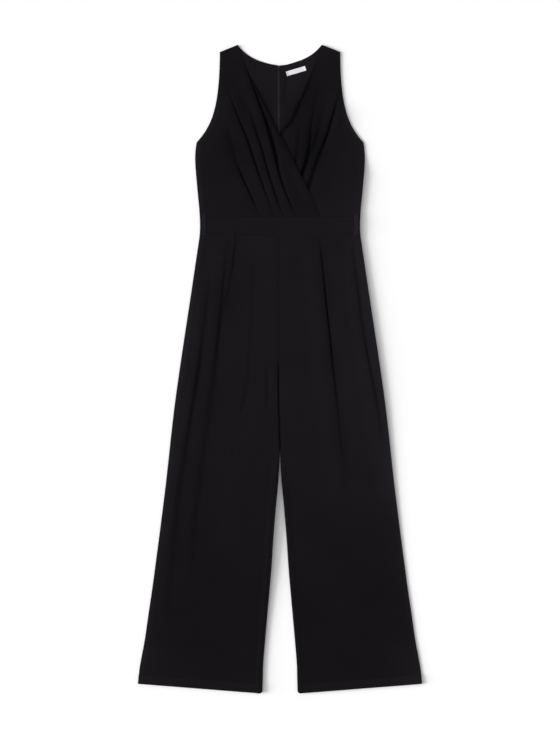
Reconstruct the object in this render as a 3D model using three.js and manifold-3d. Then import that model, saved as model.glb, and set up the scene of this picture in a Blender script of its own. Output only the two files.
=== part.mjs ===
// A sleeveless jumpsuit with a wrapped V front, a waistband and wide legs, laid out flat on its back.
// Millimetres, +Z up. The surface is z = 0, the neck points to +Y, and the wearer's right is at -X.
// Every panel is a thin wall of cloth: a grid of points, each with an underside and a top.

import * as THREE from 'three';
import Module from 'manifold-3d';
import { mergeVertices } from 'three/addons/utils/BufferGeometryUtils.js';

// ---- driving sizes ----

const cloth = 1.2; // one layer
const bandCloth = 2.6; // the waistband is doubled and stiffened
const gap = 0.3; // between any two pieces
const neckPoint = { x: 97.4, y: 750.8 };
const shoulderTip = { x: 139.7, y: 735 };
const underarm = { x: 193.3, y: 527 };
const backNeckDrop = 46; // how far the back neckline dips below the neck points
const bandTop = 354.7; // seam between bodice and waistband
const bandBottomCentre = 309.3; // seam between waistband and trousers, lowest at the centre
const bandBottomRise = 7.5; // how much higher that seam is at the sides
const bandHalf = 186;
const crotch = -190; // the inside legs touch down to here, and open below
const hemInner = { x: 41, y: -750.8 };
const hemOuter = { x: 330, y: -727.8 };
const hemDepth = 19; // the hem is turned up by this much
const hemExtra = 0.9; // and is thicker by this much
const zipX = -2.8; // the centre-back zip stands a little off the middle
const zipBottom = 170;

const backTop = cloth; // the back panels lie on the surface
const frontFloor = backTop + gap; // the lowest that a front panel may lie

// ---- edges, as short tables from the top down ----

// The side seam, from the underarm to the hem.
const sideSeam = [
  { y: 527, half: 193.3 },
  { y: 513, half: 195.6 },
  { y: 485, half: 197 },
  { y: 430, half: 193 },
  { y: 360, half: 186.6 },
  { y: 318, half: 186 },
  { y: 276, half: 191.6 },
  { y: 207, half: 201.8 },
  { y: -71, half: 242.9 },
  { y: -280, half: 266.8 },
  { y: -489, half: 294.6 },
  { y: -698, half: 327.6 },
  { y: -727.8, half: 330 },
];

// The slanting edge of the front that lies on top, which starts at the wearer's right neck point.
const overEdge = [
  { y: 750.8, x: -97.4 },
  { y: 706, x: -81 },
  { y: 666, x: -64.5 },
  { y: 587, x: -23 },
  { y: 511, x: 18 },
  { y: 415, x: 65 },
  { y: 354.7, x: 92.5 },
];

// The slanting edge of the front that lies beneath, hidden below y = 553.
const underEdge = [
  { y: 750.8, x: 97.4 },
  { y: 679, x: 72 },
  { y: 637, x: 54.5 },
  { y: 592, x: 33.4 },
  { y: 552.6, x: 5.5 },
  { y: 460, x: -41 },
  { y: 354.7, x: -92.5 },
];

// ---- folds ----

// Each fold is a trough along a bowed path, from (top, atTop) past atMiddle to (foot, atFoot), with a
// raised lip on either side. near is from the trough to the lip, and far to where the cloth is flat.
const overFolds = [
  { name: 'fourth', top: 557, foot: 366, atTop: -125, atMiddle: -95, atFoot: -51, lip: 2.2, near: 4, far: 14 },
  { name: 'third', top: 660, foot: 340, atTop: -123, atMiddle: -67, atFoot: -10, lip: 3.6, near: 4, far: 16 },
  { name: 'second', top: 640, foot: 340, atTop: -76, atMiddle: -41, atFoot: 13, lip: 4, near: 4, far: 14 },
  { name: 'first', top: 720, foot: 340, atTop: -82, atMiddle: -24, atFoot: 37, lip: 4.6, near: 4.5, far: 14 },
];
const underFolds = [
  { name: 'inner', top: 660, foot: 430, atTop: 89, atMiddle: 72, atFoot: 45, lip: 3.4, near: 4.5, far: 15 },
  { name: 'outer', top: 655, foot: 395, atTop: 145, atMiddle: 97, atFoot: 50, lip: 3.8, near: 4.5, far: 16 },
];
const rightLegFolds = [
  { name: 'side', top: 225, foot: -540, atTop: -158, atMiddle: -216, atFoot: -266, lip: 5, near: 6, far: 34 },
  { name: 'front', top: 330, foot: -470, atTop: -117, atMiddle: -163, atFoot: -211, lip: 6, near: 6, far: 36 },
  { name: 'inner', top: 290, foot: -120, atTop: -61, atMiddle: -67, atFoot: -90, lip: 2.4, near: 7, far: 26 },
];
const leftLegFolds = [
  { name: 'front', top: 330, foot: -290, atTop: 92, atMiddle: 121, atFoot: 158, lip: 6, near: 6, far: 36 },
  { name: 'side', top: 285, foot: -200, atTop: 167, atMiddle: 198, atFoot: 240, lip: 3.6, near: 6, far: 28 },
];

// ---- small parts ----

const tape = { half: 12, high: 1, coilHalf: 3.6, coilHigh: 1.7 };
const slider = { y: 697, width: 7.4, length: 9, high: 2.2, post: 1.2, keel: 7 };
const pull = { length: 22, width: 5, thick: 0.8, axisZ: 1.4, slot: 5.2, window: 3.2 };
const label = { x: 37.7, y: 691.6, width: 48, high: 11.7, turn: 16.5, thick: 1 };
const loop = { x: 177, width: 11, thick: 1 };

// ---- helpers ----

const clamp = (t) => Math.min(1, Math.max(0, t));
const ease = (t) => clamp(t) ** 2 * (3 - 2 * clamp(t));
const mix = (a, b, t) => a + (b - a) * t;

// A smooth curve through a table's rows, whose y falls from row to row: cubic pieces, with each slope
// taken from the rows on either side.
function through(rows, column) {
  const slopeAt = rows.map((row, i) => {
    const above = rows[Math.max(0, i - 1)];
    const below = rows[Math.min(rows.length - 1, i + 1)];
    return (below[column] - above[column]) / (below.y - above.y);
  });
  return (y) => {
    const i = Math.max(0, rows.findLastIndex((row, k) => row.y >= y && k < rows.length - 1));
    const a = rows[i];
    const b = rows[i + 1];
    const span = b.y - a.y;
    const t = clamp((y - a.y) / span);
    const t2 = t * t;
    const t3 = t2 * t;
    return (2 * t3 - 3 * t2 + 1) * a[column] + (t3 - 2 * t2 + t) * span * slopeAt[i]
      + (3 * t2 - 2 * t3) * b[column] + (t3 - t2) * span * slopeAt[i + 1];
  };
}

const sideHalf = through(sideSeam, 'half');
const overX = through(overEdge, 'x');
const underX = through(underEdge, 'x');

// Half the garment's width: the armhole falls almost straight from the shoulder and then sweeps out.
function half(y) {
  if (y <= underarm.y) return sideHalf(y);
  const s = (shoulderTip.y - y) / (shoulderTip.y - underarm.y);
  return mix(shoulderTip.x, underarm.x, s <= 0 ? 0 : 0.42 * s ** 2 + 0.58 * s ** 5);
}

// The seam below the waistband, lowest at the centre.
const bandBottom = (x) => bandBottomCentre + bandBottomRise * clamp(Math.abs(x) / bandHalf) ** 2;

// Half the opening between the legs.
function legGap(y) {
  const s = clamp((crotch - y) / (crotch - hemInner.y));
  return gap / 2 + hemInner.x * s * (1.08 - 0.08 * s);
}

// The centre seams start off the middle at the waist and meet it where the legs part.
const centreSeam = (start) => (y) => mix(start, 0, clamp((bandBottomCentre - y) / (bandBottomCentre - crotch)));
const centreFront = centreSeam(-4.6);
const centreBack = centreSeam(zipX);

// A fold's place across the garment at a height, and how strong it is there.
const along = (fold, y) => clamp((fold.top - y) / (fold.top - fold.foot));
function foldX(fold, y) {
  const s = along(fold, y);
  const bow = fold.atMiddle - (fold.atTop + fold.atFoot) / 2;
  return mix(fold.atTop, fold.atFoot, s) + 4 * bow * s * (1 - s);
}
const foldStrength = (fold, y) => ease(along(fold, y) / 0.25) * ease((1 - along(fold, y)) / 0.2);

// The height that a fold's lips add at a point.
function foldLift(fold, x, y) {
  const off = Math.abs(x - foldX(fold, y));
  const shape = off < fold.near ? ease(off / fold.near) : 1 - ease((off - fold.near) / (fold.far - fold.near));
  return fold.lip * shape * foldStrength(fold, y);
}
const lifted = (folds, x, y) => folds.reduce((sum, fold) => sum + foldLift(fold, x, y), 0);

// 1 inside a piece, falling to 0 at its sewn edges, so that folds die out at a seam.
const fadeAt = (distance, width) => ease(distance / width);

// ---- how high each layer lies ----

// The back bodice lifts off the surface over the zip's slider and pull.
const pullLift = 2.1;
const backLift = (x, y) => pullLift * (1 - ease((Math.abs(x - zipX) - 4.5) / 13)) * ease((y - 600) / 80);

// The fronts rise in a broad mound over the zip, which ends a little way down the trousers.
function zipMound(x, y) {
  const across = 1 - ease((Math.abs(x - zipX) - tape.half / 2) / 75);
  return (tape.coilHigh + 0.5) * across * ease((y - zipBottom + 70) / 55);
}

// Loose cloth stands a little off what it lies on, less beside its seams.
const loose = (x, y, seamY) => 1.4 * fadeAt(half(y) - Math.abs(x), 16) * (0.4 + 0.6 * fadeAt(Math.abs(y - seamY), 40));

function underLow(x, y) {
  const beneath = 1 - ease((overX(y) - x - 2) / 26);
  const free = fadeAt(half(y) - Math.abs(x), 14) * fadeAt(y - bandTop, 45);
  const rise = loose(x, y, bandTop) + lifted(underFolds, x, y) * free;
  return frontFloor + zipMound(x, y) + rise * beneath;
}

// The front on top steps up onto the one beneath, and its slanting edge lies on that one's lips.
function overLow(x, y) {
  const onUnder = ease((x - underX(y) + 46) / 34) * (cloth + gap);
  const onLips = 4.4 * (1 - ease((overX(y) - x - 8) / 34)) * fadeAt(y - bandTop, 40) * (1 - ease((y - 520) / 45));
  const free = fadeAt(x + half(y), 14) * fadeAt(overX(y) - x, 7) * (0.3 + 0.7 * fadeAt(y - bandTop, 30));
  const rise = loose(x, y, bandTop) + lifted(overFolds, x, y) * free;
  return frontFloor + zipMound(x, y) + onUnder + onLips + rise;
}

// The turned-up hem's extra thickness.
function turnUp(x, y) {
  const hemY = mix(hemInner.y, hemOuter.y, (Math.abs(x) - hemInner.x) / (hemOuter.x - hemInner.x));
  return hemExtra * (1 - ease((y - hemY - hemDepth) / 2));
}

function legLow(folds, x, y) {
  const free = fadeAt(half(y) - Math.abs(x), 16) * (0.25 + 0.75 * fadeAt(bandBottom(x) - y, 40));
  const rise = loose(x, y, bandBottomCentre) + lifted(folds, x, y) * free;
  return frontFloor + zipMound(x, y) + turnUp(x, y) + rise;
}

// ---- walls of cloth ----

// A closed wall from a grid whose rows run down the garment and whose points run toward +X.
function wall(grid) {
  const rows = grid.length;
  const columns = grid[0].length;
  const positions = [];
  for (const level of ['high', 'low']) {
    for (const row of grid) for (const point of row) positions.push(point.x, point.y, point[level]);
  }
  const index = [];
  const top = (j, i) => j * columns + i;
  const under = (j, i) => rows * columns + j * columns + i;
  const quad = (a, b, c, d) => index.push(a, b, c, a, c, d);
  for (let j = 0; j < rows - 1; j++) {
    for (let i = 0; i < columns - 1; i++) {
      quad(top(j, i), top(j + 1, i), top(j + 1, i + 1), top(j, i + 1));
      quad(under(j, i), under(j, i + 1), under(j + 1, i + 1), under(j + 1, i));
    }
    quad(top(j, 0), under(j, 0), under(j + 1, 0), top(j + 1, 0));
    quad(top(j + 1, columns - 1), under(j + 1, columns - 1), under(j, columns - 1), top(j, columns - 1));
  }
  for (let i = 0; i < columns - 1; i++) {
    quad(top(0, i + 1), under(0, i + 1), under(0, i), top(0, i));
    quad(top(rows - 1, i), under(rows - 1, i), under(rows - 1, i + 1), top(rows - 1, i + 1));
  }
  const geometry = new THREE.BufferGeometry();
  geometry.setAttribute('position', new THREE.Float32BufferAttribute(positions, 3));
  geometry.setIndex(index);
  geometry.computeVertexNormals();
  return geometry;
}

// Stops across a row: both edges, a trough and two lips for each fold, and between one fold and the
// next, or an edge, as many more as extra says.
function stopsAcross(left, right, folds, y, extra) {
  const stops = [left];
  for (const fold of folds) {
    for (const side of [-1, 0, 1]) stops.push(foldX(fold, y) + side * fold.near);
  }
  stops.push(right);
  const least = Math.min(2.5, (right - left) / (stops.length + 2));
  for (let i = 1; i < stops.length; i++) stops[i] = Math.max(stops[i], stops[i - 1] + least);
  stops[stops.length - 1] = right;
  for (let i = stops.length - 2; i > 0; i--) stops[i] = Math.min(stops[i], stops[i + 1] - least);
  const all = [];
  stops.forEach((stop, i) => {
    all.push(stop);
    const more = i % 3 === 0 && i < stops.length - 1 ? extra[i / 3] : 0;
    for (let k = 1; k <= more; k++) all.push(mix(stop, stops[i + 1], k / (more + 1)));
  });
  return all;
}

// A panel between two edges. rowAt gives the height of row v at a share t of the way across, and both
// run from 0 to 1.
function panel({ left, right, rowAt, rows, folds = [], extra, low, thick = () => cloth }) {
  const grid = rows.map((v) => {
    const xLeft = left(rowAt(v, 0));
    const xRight = right(rowAt(v, 1));
    return stopsAcross(xLeft, xRight, folds, rowAt(v, 0.5), extra).map((x) => {
      const y = rowAt(v, (x - xLeft) / (xRight - xLeft));
      const floor = low(x, y);
      return { x, y, low: floor, high: floor + thick(x, y) };
    });
  });
  return wall(grid);
}

const evenly = (count, end = 1) => Array.from({ length: count + 1 }, (_, i) => (end * i) / count);
const bodiceRows = evenly(16);
const bodiceFoot = bandTop + gap / 2;
const shoulderAt = (t) => mix(neckPoint.y, shoulderTip.y, t);

const overFront = () => panel({
  left: (y) => -half(y),
  right: overX,
  rowAt: (v, t) => mix(shoulderAt(1 - t), bodiceFoot, v),
  rows: bodiceRows,
  folds: overFolds,
  extra: [3, 1, 1, 1, 2],
  low: overLow,
});

const underFront = () => panel({
  left: underX,
  right: half,
  rowAt: (v, t) => mix(shoulderAt(t), bodiceFoot, v),
  rows: bodiceRows,
  folds: underFolds,
  extra: [4, 1, 3],
  low: underLow,
});

// The back neckline's dip: nearly straight from the zip, then curling up to the neck point.
const neckDip = (t) => backNeckDrop * (1 - (0.38 * t + 0.15 * t ** 2 + 0.47 * t ** 4));

// The slit between the two back panels, a little wider where the slider's post passes through.
const slit = (y) => gap / 2 + 0.75 * ease((y - 662) / 20);

// One back bodice panel. side is -1 on the wearer's right and +1 on the left. The top row follows the
// neckline and the shoulder, and the rows below level out.
function backBodice(side) {
  const columns = 10;
  const neckColumns = 7;
  const grid = [];
  for (const v of bodiceRows) {
    const row = [];
    for (let i = 0; i <= columns; i++) {
      const neckT = clamp(i / neckColumns);
      const shoulderT = clamp((i - neckColumns) / (columns - neckColumns));
      const topX = mix(mix(0, neckPoint.x, neckT), shoulderTip.x, shoulderT);
      const topY = mix(neckPoint.y - neckDip(neckT), shoulderTip.y, shoulderT);
      const y = mix(topY, bodiceFoot, v);
      const outer = half(mix(shoulderTip.y, bodiceFoot, v));
      const reach = mix(topX / shoulderTip.x, i / columns, ease(v * 1.6));
      const inner = zipX * side + slit(y);
      const x = side * mix(inner, outer, reach);
      const floor = backLift(x, y);
      row.push({ x, y, low: floor, high: floor + cloth });
    }
    grid.push(side > 0 ? row : row.reverse());
  }
  return wall(grid);
}

// One leg panel, from the waistband's curved seam to the slanting hem. Its last rows are the hem's.
function legPanel(side, { centre, low, folds = [], extra }) {
  const outer = (y) => side * half(y);
  const inner = (y) => (y > crotch ? centre(y) + (side * gap) / 2 : side * legGap(y));
  const hemV = 1 - hemDepth / (bandBottomCentre - hemInner.y);
  const heightAt = (v, out) => mix(
    bandBottom(out * bandHalf) - gap / 2,
    mix(hemInner.y, hemOuter.y, out),
    v,
  );
  return panel({
    left: side < 0 ? outer : inner,
    right: side < 0 ? inner : outer,
    rowAt: (v, t) => heightAt(v, side < 0 ? 1 - t : t),
    rows: [...evenly(19, hemV - 0.002), hemV, 1],
    folds,
    extra,
    low,
    thick: (x, y) => cloth + turnUp(x, y),
  });
}

// A stretch of waistband between two places across, seam to seam.
function band({ left, right, columns, low, thick }) {
  const grid = [0, 0.5, 1].map((v) => Array.from({ length: columns + 1 }, (_, i) => {
    const t = i / columns;
    const yTop = bandTop - gap / 2;
    const xMiddle = mix(left(yTop), right(yTop), t);
    const y = mix(yTop, bandBottom(xMiddle) + gap / 2, v);
    const x = mix(left(y), right(y), t);
    const floor = low(x, y);
    return { x, y, low: floor, high: floor + thick };
  }));
  return wall(grid);
}

// Half of the zip: a woven tape with the coil standing along its inner edge.
function zipHalf(side) {
  const across = [
    { off: tape.half, high: tape.high },
    { off: tape.coilHalf, high: tape.high },
    { off: tape.coilHalf - 0.8, high: tape.coilHigh },
    { off: 0.9, high: tape.coilHigh },
    { off: gap / 2, high: tape.coilHigh - 0.5 },
  ];
  const top = slider.y - slider.length / 2 - gap;
  const grid = [...evenly(6, 0.2), 0.6, 1].map((v) => {
    const y = mix(top, zipBottom, v);
    const floor = frontFloor + backLift(zipX, y);
    const row = across.map(({ off, high }) => ({ x: zipX + side * off, y, low: floor, high: floor + high }));
    return side < 0 ? row : row.reverse();
  });
  return wall(grid);
}

// A belt loop: a narrow strip over the waistband that steps down onto the cloth past both seams.
function beltLoop(side) {
  const onBand = frontFloor + bandCloth + gap;
  const onPanel = frontFloor + cloth + gap + 0.7; // the panels beside it stand a little off the back
  const foot = bandBottom(loop.x);
  const rows = [
    { y: bandTop + 6, low: onPanel },
    { y: bandTop + 2.2, low: onPanel },
    { y: bandTop + 0.4, low: onBand },
    { y: (bandTop + foot) / 2, low: onBand + 0.7 },
    { y: foot - 0.4, low: onBand },
    { y: foot - 2.2, low: onPanel },
    { y: foot - 6, low: onPanel },
  ];
  const grid = rows.map(({ y, low }) => [-0.5, 0, 0.5].map((t) => {
    const arch = low + (t === 0 ? 0.2 : 0);
    return { x: side * loop.x + t * loop.width, y, low: arch, high: arch + loop.thick };
  }));
  return wall(grid);
}

// The blank label, turned with the neckline and made from the back panel's own heights, moved out.
function neckLabel() {
  const turn = THREE.MathUtils.degToRad(label.turn);
  const grid = [0.5, -0.5].map((v) => [-0.5, -0.3, -0.1, 0.1, 0.3, 0.5].map((u) => {
    const across = u * label.width;
    const up = v * label.high;
    const x = label.x + across * Math.cos(turn) - up * Math.sin(turn);
    const y = label.y + across * Math.sin(turn) + up * Math.cos(turn);
    const floor = frontFloor + backLift(x, y);
    return { x, y, low: floor, high: floor + label.thick };
  }));
  return wall(grid);
}

// ---- the zip's slider and pull ----

const wasm = await Module();
wasm.setup();

function solidOf(geometry) {
  const bare = geometry.clone();
  bare.deleteAttribute('normal');
  bare.deleteAttribute('uv');
  const merged = mergeVertices(bare, 1e-4);
  return new wasm.Manifold(new wasm.Mesh({
    numProp: 3,
    vertProperties: new Float32Array(merged.attributes.position.array),
    triVerts: new Uint32Array(merged.index.array),
  }));
}

function geometryOf(solid) {
  const mesh = solid.getMesh();
  const geometry = new THREE.BufferGeometry();
  geometry.setAttribute('position', new THREE.BufferAttribute(mesh.vertProperties, 3));
  geometry.setIndex(new THREE.BufferAttribute(mesh.triVerts, 1));
  geometry.computeVertexNormals();
  return geometry;
}

const block = (width, length, high, x, y, z) => solidOf(
  new THREE.BoxGeometry(width, length, high).translate(x, y, z),
);

// A body above the cloth, and below it a keel with a window for the pull's bar.
function zipSlider() {
  const bodyFloor = backTop + pullLift + gap;
  const outline = new THREE.Shape();
  outline.moveTo(-slider.width * 0.32, -slider.length / 2);
  outline.lineTo(slider.width * 0.32, -slider.length / 2);
  outline.lineTo(slider.width / 2, slider.length * 0.1);
  outline.quadraticCurveTo(slider.width / 2, slider.length / 2, slider.width * 0.2, slider.length / 2);
  outline.lineTo(-slider.width * 0.2, slider.length / 2);
  outline.quadraticCurveTo(-slider.width / 2, slider.length / 2, -slider.width / 2, slider.length * 0.1);
  outline.closePath();
  const bevel = 0.4;
  const body = new THREE.ExtrudeGeometry(outline, {
    depth: slider.high - 2 * bevel,
    bevelSize: bevel,
    bevelThickness: bevel,
    bevelOffset: -bevel,
    bevelSegments: 2,
    curveSegments: 5,
  }).translate(zipX, slider.y, bodyFloor + bevel);
  const keelFoot = 0.1;
  const keelHigh = bodyFloor + 0.5 - keelFoot;
  const keel = block(slider.post, slider.keel, keelHigh, zipX, slider.y, keelFoot + keelHigh / 2);
  const window = block(slider.post * 3, pull.window, 1.8, zipX, slider.y, pull.axisZ);
  return geometryOf(solidOf(body).add(keel.subtract(window)));
}

// A teardrop plate with a slot that clears the keel; its top bar is the hinge.
function zipPull() {
  const bar = pull.thick / 2;
  const shoulder = pull.width * 0.36;
  const outline = new THREE.Shape();
  outline.moveTo(-shoulder, bar);
  outline.lineTo(shoulder, bar);
  outline.quadraticCurveTo(shoulder, -pull.length * 0.5, pull.width / 2, -pull.length * 0.78);
  outline.absarc(0, -pull.length + pull.width / 2, pull.width / 2, 0, -Math.PI, true);
  outline.quadraticCurveTo(-shoulder, -pull.length * 0.5, -shoulder, bar);
  const slotHalf = slider.post / 2 + gap;
  const slot = new THREE.Path();
  slot.moveTo(-slotHalf, -bar);
  slot.lineTo(-slotHalf, -pull.slot);
  slot.lineTo(slotHalf, -pull.slot);
  slot.lineTo(slotHalf, -bar);
  slot.closePath();
  outline.holes.push(slot);
  return new THREE.ExtrudeGeometry(outline, { depth: pull.thick, bevelEnabled: false, curveSegments: 8 })
    .translate(0, 0, -bar);
}

// ---- the garment ----

const finish = (color, roughness, metalness = 0) => ({ color, roughness, metalness });
const crepe = finish(0x18161a, 0.85);
const crepeInside = finish(0x1a181b, 0.88);
const coil = finish(0x252326, 0.5);
const metal = finish(0x1c1b1d, 0.4, 0.8);
const satin = finish(0xf2f2f2, 0.6);

const group = new THREE.Group();
function add(name, geometry, look) {
  const mesh = new THREE.Mesh(geometry, new THREE.MeshStandardMaterial(look));
  mesh.name = name;
  group.add(mesh);
  return mesh;
}

const sides = [['right', -1], ['left', 1]];
add('front_bodice_right', overFront(), crepe);
add('front_bodice_left', underFront(), crepe);
add('waistband_front', band({
  left: (y) => -half(y),
  right: half,
  columns: 28,
  low: (x, y) => frontFloor + zipMound(x, y),
  thick: bandCloth,
}), crepe);
add('label', neckLabel(), satin);

const legFolds = { right: rightLegFolds, left: leftLegFolds };
const legExtra = { right: [1, 1, 2, 3], left: [4, 2, 1] };
for (const [name, side] of sides) {
  const folds = legFolds[name];
  add(`back_bodice_${name}`, backBodice(side), crepeInside);
  add(`front_leg_${name}`, legPanel(side, {
    centre: centreFront,
    low: (x, y) => legLow(folds, x, y),
    folds,
    extra: legExtra[name],
  }), crepe);
  add(`back_leg_${name}`, legPanel(side, { centre: centreBack, low: () => 0, extra: [4] }), crepe);
  const inner = () => zipX + (side * gap) / 2;
  const outer = (y) => side * half(y);
  add(`waistband_back_${name}`, band({
    left: side < 0 ? outer : inner,
    right: side < 0 ? inner : outer,
    columns: 6,
    low: () => 0,
    thick: cloth,
  }), crepe);
  add(`belt_loop_${name}`, beltLoop(side), crepe);
  add(`zip_tape_${name}`, zipHalf(side), coil);
}
add('zip_slider', zipSlider(), metal);

const pullMesh = add('zip_pull', zipPull(), metal);
pullMesh.position.set(zipX, slider.y, pull.axisZ);
pullMesh.rotation.x = Math.asin((pull.axisZ - pull.thick / 2 - 0.1) / pull.length);

export default group;
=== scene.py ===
import math

import bpy
import numpy as np
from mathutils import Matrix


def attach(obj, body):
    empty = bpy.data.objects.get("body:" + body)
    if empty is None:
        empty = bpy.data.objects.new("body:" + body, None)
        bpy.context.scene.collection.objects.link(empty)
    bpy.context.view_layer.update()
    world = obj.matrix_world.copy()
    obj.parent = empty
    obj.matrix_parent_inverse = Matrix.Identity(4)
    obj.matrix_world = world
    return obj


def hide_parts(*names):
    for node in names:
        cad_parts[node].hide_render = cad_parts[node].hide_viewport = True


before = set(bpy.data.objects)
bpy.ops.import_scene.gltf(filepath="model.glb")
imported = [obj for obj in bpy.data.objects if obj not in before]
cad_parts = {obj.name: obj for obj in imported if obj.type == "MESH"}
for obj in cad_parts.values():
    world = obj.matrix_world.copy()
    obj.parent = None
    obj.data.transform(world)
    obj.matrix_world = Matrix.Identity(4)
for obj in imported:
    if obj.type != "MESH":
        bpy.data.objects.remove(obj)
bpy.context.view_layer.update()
mm = 0.001  # the tables below are in millimetres


# the camera looks straight down, with +Y up the page

cameraView = {
    "lens": 85,  # mm, on a 36 mm sensor
    "tall": 1730.7,  # mm of the surface, from the top of the picture to its foot
    "middle": (0.0, -8.8),  # mm, the point it looks down on
    "focus": 4,  # mm above the surface, the height at which "tall" holds
}


def makeCamera():
    data = bpy.data.cameras.new("camera")
    data.lens = cameraView["lens"]
    data.clip_end = 50
    cam = bpy.data.objects.new("camera", data)
    distance = cameraView["tall"] * cameraView["lens"] / data.sensor_width + cameraView["focus"]
    cam.location = (cameraView["middle"][0] * mm, cameraView["middle"][1] * mm, distance * mm)
    bpy.context.collection.objects.link(cam)
    bpy.context.scene.camera = cam


makeCamera()
print("camera ready")


# helpers

# held between 0 and 1 and level at both ends: three t squared less two t cubed
def ease(t):
    t = np.clip(t, 0, 1)
    return t * t * (3 - 2 * t)


def mix(a, b, t):
    return a + (b - a) * t


# e to the power of minus t squared
def bell(t):
    return np.exp(-t * t)


# cubic pieces through rows of (y, value), y falling; each slope comes from the rows on either side
def curveThrough(rows, y):
    at, value = np.array(rows[::-1], float).T
    slope = np.gradient(value, at)
    slope[1:-1] = (value[2:] - value[:-2]) / (at[2:] - at[:-2])
    i = np.clip(np.searchsorted(at, y) - 1, 0, len(at) - 2)
    span = at[i + 1] - at[i]
    t = np.clip((y - at[i]) / span, 0, 1)
    return (
        (2 * t**3 - 3 * t**2 + 1) * value[i]
        + (t**3 - 2 * t**2 + t) * span * slope[i]
        + (3 * t**2 - 2 * t**3) * value[i + 1]
        + (t**3 - t**2) * span * slope[i + 1]
    )


# values spread evenly from s = 0 to 1, eased from each one to the next
def valueAlong(values, s):
    values = np.asarray(values, float)
    steps = np.clip(s, 0, 1) * (len(values) - 1)
    i = np.minimum(steps.astype(int), len(values) - 2)
    return mix(values[i], values[i + 1], ease(steps - i))


# smooth random heights from -1 to 1: seeded numbers on a lattice, eased between the nearest four
def softNoise(x, y, acrossSize, alongSize, seed):
    n = 64
    lattice = np.random.default_rng(seed).uniform(-1, 1, (n, n))
    gx, gy = x / acrossSize + 31.7, y / alongSize + 30.3
    ix, iy = np.floor(gx).astype(int), np.floor(gy).astype(int)
    tx, ty = ease(gx - ix), ease(gy - iy)
    here, beside = lattice[iy % n, ix % n], lattice[iy % n, (ix + 1) % n]
    above, across = lattice[(iy + 1) % n, ix % n], lattice[(iy + 1) % n, (ix + 1) % n]
    return mix(mix(here, beside, tx), mix(above, across, tx), ty)


# the garment's cut, in millimetres, as in the frame

garment = {
    "cloth": 1.2,
    "bandCloth": 2.6,
    "layerGap": 0.3,  # between one layer and the next
    "seamGap": 0.05,  # between two panels sewn edge to edge
    "backSeamShift": 1.4,  # how far the back's waist seams stand above the front's
    "neck": (97.4, 753.0),
    "shoulder": (139.7, 736.0),
    "underarm": (193.3, 527.0),
    "backNeckDrop": 48.2,
    "bandTop": 354.7,
    "bandFoot": 309.3,  # at the centre
    "bandFootRise": 7.5,  # at the sides
    "bandFootTurn": (110, 186),  # how far out it has risen, on the right and on the left
    "bandHalf": 186,
    "crotch": -183,  # the inside seams touch down to here
    "seamTurn": 20,  # where the centre seams start to curve and the front one to open
    "hemInner": (41, -752.6),
    "hemOuter": (330, -730.0),
    "hemDepth": 19,
    "hemExtra": 0.9,
    "zipX": -2.8,
    "zipFoot": 170,
}
frontFloor = garment["cloth"] + garment["layerGap"]
bodiceFoot = garment["bandTop"] + garment["seamGap"] / 2

sideSeam = [
    (527, 193.3), (513, 195.6), (485, 197), (430, 193), (360, 186.6), (318, 186), (276, 191.6),
    (207, 201.8), (-71, 242.9), (-280, 266.8), (-489, 293.8), (-570, 305.6), (-628, 314), (-690, 325.4),
    (-730, 330),
]
overEdge = [(753, -97.4), (706, -80), (675, -66.8), (646, -51.3), (605, -30.4), (577, -16.7), (511, 18),
            (415, 65), (354.7, 92.5)]
underEdge = [(753, 97.4), (710, 81), (675.6, 66.8), (638.5, 52.8), (610, 40), (583, 30), (566, 19),
             (552, 3.5), (460, -41), (354.7, -92.5)]
legOpening = [(-183, 0.03), (-201, 0.4), (-220, 1.2), (-238, 2.3), (-257, 3.6), (-276, 5.1), (-294, 6.8),
              (-316, 8.9), (-338, 10.8), (-396, 15.4), (-454, 19.2), (-512, 24), (-570, 29.3), (-628, 34.4),
              (-686, 39), (-721, 39.9), (-752.6, 41)]


# half the width: the side seam's table, and above it an armhole that falls and then sweeps out
def half(y):
    top, low = garment["shoulder"], garment["underarm"]
    s = np.clip((top[1] - y) / (top[1] - low[1]), 0, 1)
    armhole = mix(top[0], low[0], 0.42 * s**2 + 0.58 * s**5)
    return np.where(y > low[1], armhole, curveThrough(sideSeam, y))


# how far in from the side seam or the armhole
def fromSide(x, y):
    return half(y) - np.abs(x)


# the slanting edge of the right front, which lies over the left one, and below it the left front's
def overX(y):
    return curveThrough(overEdge, y)


def underX(y):
    return curveThrough(underEdge, y)


# the band's lower edge rises with the square of the share out from the middle
def bandFoot(x):
    out = np.abs(x) / np.where(np.asarray(x) < 0, *garment["bandFootTurn"])
    return garment["bandFoot"] + garment["bandFootRise"] * np.clip(out, 0, 1) ** 2


# each hem runs straight from its inner corner to its outer one
def hemLine(x):
    inner, outer = garment["hemInner"], garment["hemOuter"]
    return mix(inner[1], outer[1], np.clip((np.abs(x) - inner[0]) / (outer[0] - inner[0]), 0, 1))


# the centre seams start a little off the middle and curve to it where the legs part
def centreSeam(start, y):
    turn, end = garment["seamTurn"], garment["crotch"]
    return mix(start, 0, np.clip((turn - y) / (turn - end), 0, 1) ** 1.8)


frontSeamStart = -4.6


# folds

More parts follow.
